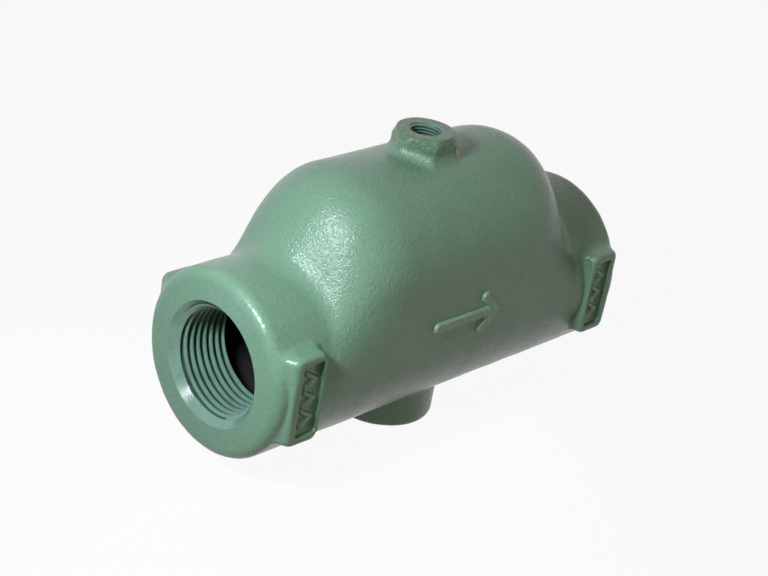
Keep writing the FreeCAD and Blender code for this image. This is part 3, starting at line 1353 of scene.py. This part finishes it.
def add_node(tree: bpy.types.NodeTree, kind: str, values: dict[str, object] | None = None,
             links: dict[str, bpy.types.NodeSocket] | None = None, **settings: object) -> bpy.types.Node:
    """Add a node with its settings, input values and links.

    Args:
        tree: The node tree.
        kind: The node's type.
        values: Values of inputs, by name or number.
        links: Outputs that feed inputs, by the input's name or number.
        settings: Properties of the node.

    Returns:
        The node.
    """
    node = tree.nodes.new(kind)
    for name, value in settings.items():
        setattr(node, name, value)
    for key, value in (values or {}).items():
        node.inputs[int(key) if key.isdigit() else key].default_value = value
    for key, output in (links or {}).items():
        tree.links.new(output, node.inputs[int(key) if key.isdigit() else key])
    return node


def new_material(name: str) -> tuple[bpy.types.Material, bpy.types.NodeTree]:
    """Make a material with an empty node tree.

    Args:
        name: Its name.

    Returns:
        The material and its tree.
    """
    material = bpy.data.materials.new(name)
    material.use_nodes = True
    material.node_tree.nodes.clear()
    return material, material.node_tree


@dataclass(frozen=True)
class SprayedEnamel:
    """Semi-gloss enamel sprayed on a sand casting.

    The eye sees one grey-green with slow cloudy changes, a fine grain that breaks up every highlight, and
    the rounder dimples of orange peel.

    Attributes:
        name: Name of the material.
        colour: Main colour.
        thin_colour: Colour where the coat is thin or dusty.
        deep_colour: Colour of the pits between the grains.
        worn_and_shaded_colour: Darker colour on top of the vent boss, partly handling wear and partly
            painted shade.
        ior: Refraction of the coat.
        gloss: Level of its reflection, where 0.5 is a clear varnish's.
        cloud_mm: Size of the cloudy changes.
        cloud_detail: How many finer patterns they hold.
        grain_mm: Size of the casting's grain.
        grain_detail: How many finer patterns it holds.
        peel_mm: Size of the orange peel's dimples.
        peel_detail: How many finer patterns they hold.
        grain_height_mm: Depth of the grain.
        peel_height_mm: Depth of the dimples.
        thin_ramp: Share of the thin colour over the clouds' pattern.
        pit_ramp: Share of the pits' colour over the grain's pattern.
        roughness_ramp: Roughness over the clouds' pattern.
        worn_and_shaded_ramp: Share of that wear and painted shade over the dimples' pattern.
        boss_ramp: Share of the vent boss's top, where the wear and painted shade go, over the height in
            metres.
        hub_ramp: Share of the grain over the distance from the middle in metres; the hubs are smoother.
    """

    name: str = "sprayed_enamel_on_cast_iron"
    colour: str = "#679076"
    thin_colour: str = "#719680"
    deep_colour: str = "#587f67"
    # Wear and painted shade on the top of the vent boss.
    worn_and_shaded_colour: str = "#4d664a"
    ior: float = 1.5
    gloss: float = 0.46
    cloud_mm: float = 22.0
    cloud_detail: float = 4.0
    grain_mm: float = 0.6
    grain_detail: float = 3.0
    peel_mm: float = 1.7
    peel_detail: float = 1.0
    grain_height_mm: float = 0.22
    peel_height_mm: float = 0.13
    thin_ramp: Ramp = (0.5, 0.75, 0.0, 0.7)
    pit_ramp: Ramp = (0.5, 0.25, 0.0, 0.8)
    roughness_ramp: Ramp = (0.3, 0.7, 0.2, 0.31)
    worn_and_shaded_ramp: Ramp = (0.35, 0.6, 0.32, 0.8)
    boss_ramp: Ramp = (0.0834, 0.0854, 0.0, 1.0)
    hub_ramp: Ramp = (0.05, 0.058, 1.0, 0.4)

    def material(self) -> bpy.types.Material:
        """Build the node material.

        Returns:
            The material.
        """
        material, tree = new_material(self.name)
        main, thin, deep, worn_and_shaded_tone = (linear_colour(code) for code in (
            self.colour, self.thin_colour, self.deep_colour, self.worn_and_shaded_colour))
        place = add_node(tree, "ShaderNodeTexCoord").outputs["Object"]
        cloud, grain, peel = (
            add_node(tree, "ShaderNodeTexNoise", {"Scale": per_metre(size), "Detail": detail},
                     {"Vector": place}).outputs["Fac"]
            for size, detail in (
                (self.cloud_mm, self.cloud_detail), (self.grain_mm, self.grain_detail),
                (self.peel_mm, self.peel_detail)))
        along = add_node(tree, "ShaderNodeSeparateXYZ", None, {"Vector": place}).outputs
        off_middle = add_node(tree, "ShaderNodeMath", None, {"0": along["X"]}, operation="ABSOLUTE")
        thin_share, pit_share, roughness, worn_and_shaded_mottle, on_boss, grain_share = (
            add_node(tree, "ShaderNodeMapRange",
                     {"From Min": start, "From Max": stop, "To Min": before, "To Max": after},
                     {"Value": value}).outputs["Result"]
            for value, (start, stop, before, after) in (
                (cloud, self.thin_ramp), (grain, self.pit_ramp), (cloud, self.roughness_ramp),
                (peel, self.worn_and_shaded_ramp), (along["Z"], self.boss_ramp),
                (off_middle.outputs[0], self.hub_ramp)))

        # Wear and painted shade: the top of the vent boss darkened in patches that follow the dimples.
        worn_and_shaded_share = add_node(tree, "ShaderNodeMath", None, {"0": on_boss, "1": worn_and_shaded_mottle}, operation="MULTIPLY")
        clouded = add_node(tree, "ShaderNodeMix", {"6": main, "7": thin}, {"0": thin_share},
                           data_type="RGBA")
        pitted = add_node(tree, "ShaderNodeMix", {"7": deep}, {"0": pit_share, "6": clouded.outputs[2]},
                          data_type="RGBA")
        worn_and_shaded_mix = add_node(tree, "ShaderNodeMix", {"7": worn_and_shaded_tone},
                           {"0": worn_and_shaded_share.outputs[0], "6": pitted.outputs[2]}, data_type="RGBA")
        dimples = add_node(tree, "ShaderNodeBump",
                           {"Strength": 1.0, "Distance": self.peel_height_mm * MM}, {"Height": peel})
        surface = add_node(tree, "ShaderNodeBump", {"Distance": self.grain_height_mm * MM},
                           {"Strength": grain_share, "Height": grain, "Normal": dimples.outputs[0]})
        shader = add_node(tree, "ShaderNodeBsdfPrincipled",
                          {"IOR": self.ior, "Specular IOR Level": self.gloss},
                          {"Base Color": worn_and_shaded_mix.outputs[2], "Roughness": roughness,
                           "Normal": surface.outputs[0]})
        add_node(tree, "ShaderNodeOutputMaterial", None, {"Surface": shader.outputs[0]})
        return material


@dataclass(frozen=True)
class HighlightedMarkEnamel(SprayedEnamel):
    """A paler copy of the enamel for the raised marks; the eye sees them a little paler, a painted
    highlight.
    """

    name: str = "enamel_with_painted_highlight_on_raised_marks"
    # Painted highlight: all three colours are paler than the enamel's own.
    colour: str = "#769b83"
    thin_colour: str = "#82a48d"
    deep_colour: str = "#6a8f77"


@dataclass(frozen=True)
class MottledIron:
    """Iron or steel of one colour with patches of another and a fine relief.

    Attributes:
        name: Name of the material.
        colour: Main colour.
        patch_colour: Colour of the patches.
        grain_mm: Size of the relief's grain.
        grain_height_mm: Depth of the relief.
        grain_detail: How many finer patterns the relief holds.
        patch_mm: Size of the patches.
        patch_detail: How many finer patterns the patches hold.
        patch_ramp: Share of the patches' colour over their pattern.
        roughness: Roughness.
        metallic: How much it reflects as metal.
    """

    name: str
    colour: str
    patch_colour: str
    grain_mm: float
    grain_height_mm: float
    grain_detail: float = 3.0
    patch_mm: float = 9.0
    patch_detail: float = 5.0
    patch_ramp: Ramp = (0.45, 0.7, 0.0, 1.0)
    roughness: float = 0.75
    metallic: float = 0.0

    def material(self) -> bpy.types.Material:
        """Build the node material.

        Returns:
            The material.
        """
        material, tree = new_material(self.name)
        place = add_node(tree, "ShaderNodeTexCoord").outputs["Object"]
        patch, grain = (
            add_node(tree, "ShaderNodeTexNoise", {"Scale": per_metre(size), "Detail": detail},
                     {"Vector": place}).outputs["Fac"]
            for size, detail in ((self.patch_mm, self.patch_detail), (self.grain_mm, self.grain_detail)))
        start, stop, before, after = self.patch_ramp
        share = add_node(tree, "ShaderNodeMapRange",
                         {"From Min": start, "From Max": stop, "To Min": before, "To Max": after},
                         {"Value": patch})
        colours = {"6": linear_colour(self.colour), "7": linear_colour(self.patch_colour)}
        colour = add_node(tree, "ShaderNodeMix", colours, {"0": share.outputs[0]}, data_type="RGBA")
        bump = add_node(tree, "ShaderNodeBump",
                        {"Strength": 1.0, "Distance": self.grain_height_mm * MM}, {"Height": grain})
        shader = add_node(tree, "ShaderNodeBsdfPrincipled",
                          {"Metallic": self.metallic, "Roughness": self.roughness},
                          {"Base Color": colour.outputs[2], "Normal": bump.outputs[0]})
        add_node(tree, "ShaderNodeOutputMaterial", None, {"Surface": shader.outputs[0]})
        return material


@dataclass(frozen=True)
class OversprayedThread(MottledIron):
    """Cut thread in cast iron with a thin film of overspray.

    The eye sees the casting's green, smoother and a little greyer, with the tap's faint cutting marks.
    """

    name: str = "oversprayed_cut_thread"
    colour: str = "#6b9280"
    patch_colour: str = "#5f7d6e"
    grain_mm: float = 0.4
    grain_height_mm: float = 0.015
    grain_detail: float = 1.0
    patch_mm: float = 5.0
    patch_detail: float = 3.0
    patch_ramp: Ramp = (0.45, 0.75, 0.0, 0.8)
    roughness: float = 0.2


@dataclass(frozen=True)
class PaintedGrooveShade(MottledIron):
    """Painted shade in a thread's grooves, where shade falls; the eye sees a dark, half matt green."""

    name: str = "painted_shade_in_thread_root"
    # Painted shade: both colours are darker than the thread's own green, in place of the shade in the
    # grooves.
    colour: str = "#3a5245"
    patch_colour: str = "#2a3c32"
    grain_mm: float = 0.5
    grain_height_mm: float = 0.03
    roughness: float = 0.5


@dataclass(frozen=True)
class BareCastIron(MottledIron):
    """Cast iron with its oxide skin; the eye sees a nearly black, rough surface with rusty clouds."""

    name: str = "bare_cast_iron"
    colour: str = "#1b1a19"
    patch_colour: str = "#2a211b"
    grain_mm: float = 0.9
    grain_height_mm: float = 0.12


@dataclass(frozen=True)
class MillScale(MottledIron):
    """Hot-rolled steel as it comes from the mill; the eye sees blue-grey scale with brown clouds."""

    name: str = "hot_rolled_steel_with_mill_scale"
    colour: str = "#2b2c2e"
    patch_colour: str = "#3a2f28"
    grain_mm: float = 0.8
    grain_height_mm: float = 0.03
    patch_mm: float = 14.0
    roughness: float = 0.55
    metallic: float = 0.6


@dataclass
class FlowPlates:
    """The three plates inside the chamber, dressed as rolled steel.

    Attributes:
        names: The plates' nodes.
        finish: Their finish.
    """

    names: tuple[str, ...] = ("inlet_weir", "air_scoop", "outlet_baffle")
    finish: MillScale = MillScale()

    def dress(self, nodes: dict[str, bpy.types.Object]) -> None:
        """Give every plate its material.

        Args:
            nodes: The part's nodes by name.
        """
        material = self.finish.material()
        for name in self.names:
            nodes[name].data.materials.clear()
            nodes[name].data.materials.append(material)
            LOG.info("%s: dressed", name)


@dataclass(frozen=True)
class SoftLight:
    """A square studio lamp that looks at the object.

    Attributes:
        name: Its name.
        place: Its place in metres.
        aim: The point that it looks at.
        size: Its side in metres.
        power: Its power in watts.
        spread: How wide its light spreads, in degrees.
        colour: Its colour.
    """

    name: str
    place: tuple[float, float, float]
    aim: tuple[float, float, float]
    size: float
    power: float
    spread: float
    colour: str

    def build(self) -> None:
        """Hang the lamp."""
        data = bpy.data.lights.new(self.name, "AREA")
        data.shape = "SQUARE"
        data.size = self.size
        data.energy = self.power
        data.spread = math.radians(self.spread)
        data.color = linear_colour(self.colour)[:3]
        lamp = bpy.data.objects.new(self.name, data)
        lamp.location = self.place
        lamp.rotation_euler = (Vector(self.aim) - Vector(self.place)).to_track_quat("-Z", "Y").to_euler()
        bpy.context.scene.collection.objects.link(lamp)


@dataclass
class Studio:
    """Pale floor, soft lamps, white surroundings and the camera.

    Attributes:
        camera_place: The camera's place in metres.
        camera_right: The camera's own right, as a direction.
        camera_up: The camera's own up.
        lens: Focal length in millimetres.
        sensor: Width of the sensor in millimetres.
        lamps: The lamps.
        floor_half: Half the floor's width in metres.
        floor_colour: Colour of the floor.
        floor_bounce_colour: Its colour for the light that it throws back at the object.
        floor_glow: How much of the floor that the camera sees is plain white.
        ambient: Strength of the surroundings' light on the object.
        ambient_colour: Its colour.
    """

    camera_place: tuple[float, float, float] = (-0.3555, -0.2988, 0.2727)
    camera_right: tuple[float, float, float] = (0.6989, -0.6991, 0.1510)
    camera_up: tuple[float, float, float] = (0.2282, 0.4180, 0.8793)
    lens: float = 82.90
    sensor: float = 36.0
    lamps: tuple[SoftLight, ...] = (
        SoftLight("key", (-0.24, -0.04, 0.2), aim=(-0.05, -0.01, 0.05), size=0.045, power=0.215,
                  spread=90.0, colour="#eff2ff"),
        SoftLight("fill", (-0.19, -0.42, 0.2), aim=(-0.03, 0.0, 0.04), size=0.3, power=0.105,
                  spread=100.0, colour="#fff0c8"),
    )
    floor_half: float = 4.0
    floor_colour: str = "#d8d8d6"
    floor_bounce_colour: str = "#404030"
    floor_glow: float = 0.93
    ambient: float = 0.125
    ambient_colour: str = "#fff4c4"

    def camera(self) -> None:
        """Stand the camera at the photograph's place."""
        data = bpy.data.cameras.new("camera")
        data.lens = self.lens
        data.sensor_width = self.sensor
        camera = bpy.data.objects.new("camera", data)
        right = Vector(self.camera_right).normalized()
        back = right.cross(Vector(self.camera_up)).normalized()
        up = back.cross(right)
        matrix = Matrix((right, up, back)).transposed().to_4x4()
        matrix.translation = Vector(self.camera_place)
        camera.matrix_world = matrix
        bpy.context.scene.collection.objects.link(camera)
        bpy.context.scene.camera = camera

    def floor(self) -> None:
        """Lay a plain pale floor that keeps the object's shadow and looks white to the camera."""
        half = self.floor_half
        mesh = bpy.data.meshes.new("floor")
        corners = [(-half, -half, 0), (half, -half, 0), (half, half, 0), (-half, half, 0)]
        mesh.from_pydata(corners, [], [(0, 1, 2, 3)])
        material, tree = new_material("matt_white_paper")
        path = add_node(tree, "ShaderNodeLightPath")
        colours = {"6": linear_colour(self.floor_bounce_colour), "7": linear_colour(self.floor_colour)}
        tone = add_node(tree, "ShaderNodeMix", colours, {"0": path.outputs["Is Camera Ray"]},
                        data_type="RGBA")
        paper = add_node(tree, "ShaderNodeBsdfDiffuse", None, {"Color": tone.outputs[2]})
        white = add_node(tree, "ShaderNodeEmission", {"Color": (1, 1, 1, 1), "Strength": 1.0})
        seen = self.seen_directly(tree)
        share = add_node(tree, "ShaderNodeMath", {"1": self.floor_glow}, {"0": seen}, operation="MULTIPLY")
        mixed = add_node(tree, "ShaderNodeMixShader", None,
                         {"0": share.outputs[0], "1": paper.outputs[0], "2": white.outputs[0]})
        add_node(tree, "ShaderNodeOutputMaterial", None, {"Surface": mixed.outputs[0]})
        mesh.materials.append(material)
        floor = bpy.data.objects.new("floor", mesh)
        bpy.context.scene.collection.objects.link(floor)

    def seen_directly(self, tree: bpy.types.NodeTree) -> bpy.types.NodeSocket:
        """A value of one for rays from the camera, and for those that mirror or pass through something.

        Args:
            tree: The node tree.

        Returns:
            The output that holds it.
        """
        path = add_node(tree, "ShaderNodeLightPath")
        mirrored = add_node(tree, "ShaderNodeMath", None,
                            {"0": path.outputs["Is Camera Ray"], "1": path.outputs["Is Glossy Ray"]},
                            operation="MAXIMUM")
        return add_node(tree, "ShaderNodeMath", None,
                        {"0": mirrored.outputs[0], "1": path.outputs["Is Transmission Ray"]},
                        operation="MAXIMUM").outputs[0]

    def surroundings(self) -> None:
        """White to the eye, and a weak even light on the object."""
        world = bpy.data.worlds.new("white_room")
        bpy.context.scene.world = world
        world.use_nodes = True
        tree = world.node_tree
        tree.nodes.clear()
        light = add_node(tree, "ShaderNodeBackground",
                         {"Color": linear_colour(self.ambient_colour), "Strength": self.ambient})
        white = add_node(tree, "ShaderNodeBackground", {"Color": (1, 1, 1, 1), "Strength": 1.0})
        mixed = add_node(tree, "ShaderNodeMixShader", None,
                         {"0": self.seen_directly(tree), "1": light.outputs[0], "2": white.outputs[0]})
        add_node(tree, "ShaderNodeOutputWorld", None, {"Surface": mixed.outputs[0]})

    def build(self) -> None:
        """Set up everything around the object."""
        self.camera()
        self.floor()
        self.surroundings()
        for lamp in self.lamps:
            lamp.build()
        bpy.context.scene.view_settings.view_transform = "Standard"


def main() -> None:
    """Build the purger's looks piece by piece, then the studio."""
    logging.basicConfig(level=logging.INFO, format="%(name)s: %(message)s")
    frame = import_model()
    low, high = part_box("body_casting")
    mounts = {mount["name"]: mount for mount in frame["record"]["mounts"]}
    barrel = Barrel((high.x - low.x) / MM, mounts["inlet_port"]["pos_m"][2] / MM)

    casting = Casting(barrel, (high.y - low.y) / MM, high.z / MM)
    coats = {Finish.ENAMEL: SprayedEnamel(), Finish.THREAD: OversprayedThread(),
             Finish.IRON: BareCastIron(), Finish.GROOVE: PaintedGrooveShade()}
    casting.build([coats[finish].material() for finish in Finish])
    # The raised marks take a paler copy of the enamel, a painted highlight.
    FlowMarks(barrel, casting.pad).build(HighlightedMarkEnamel().material())
    FlowPlates().dress(frame["nodes"])
    Studio().build()

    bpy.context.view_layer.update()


if __name__ == "__main__":
    main()
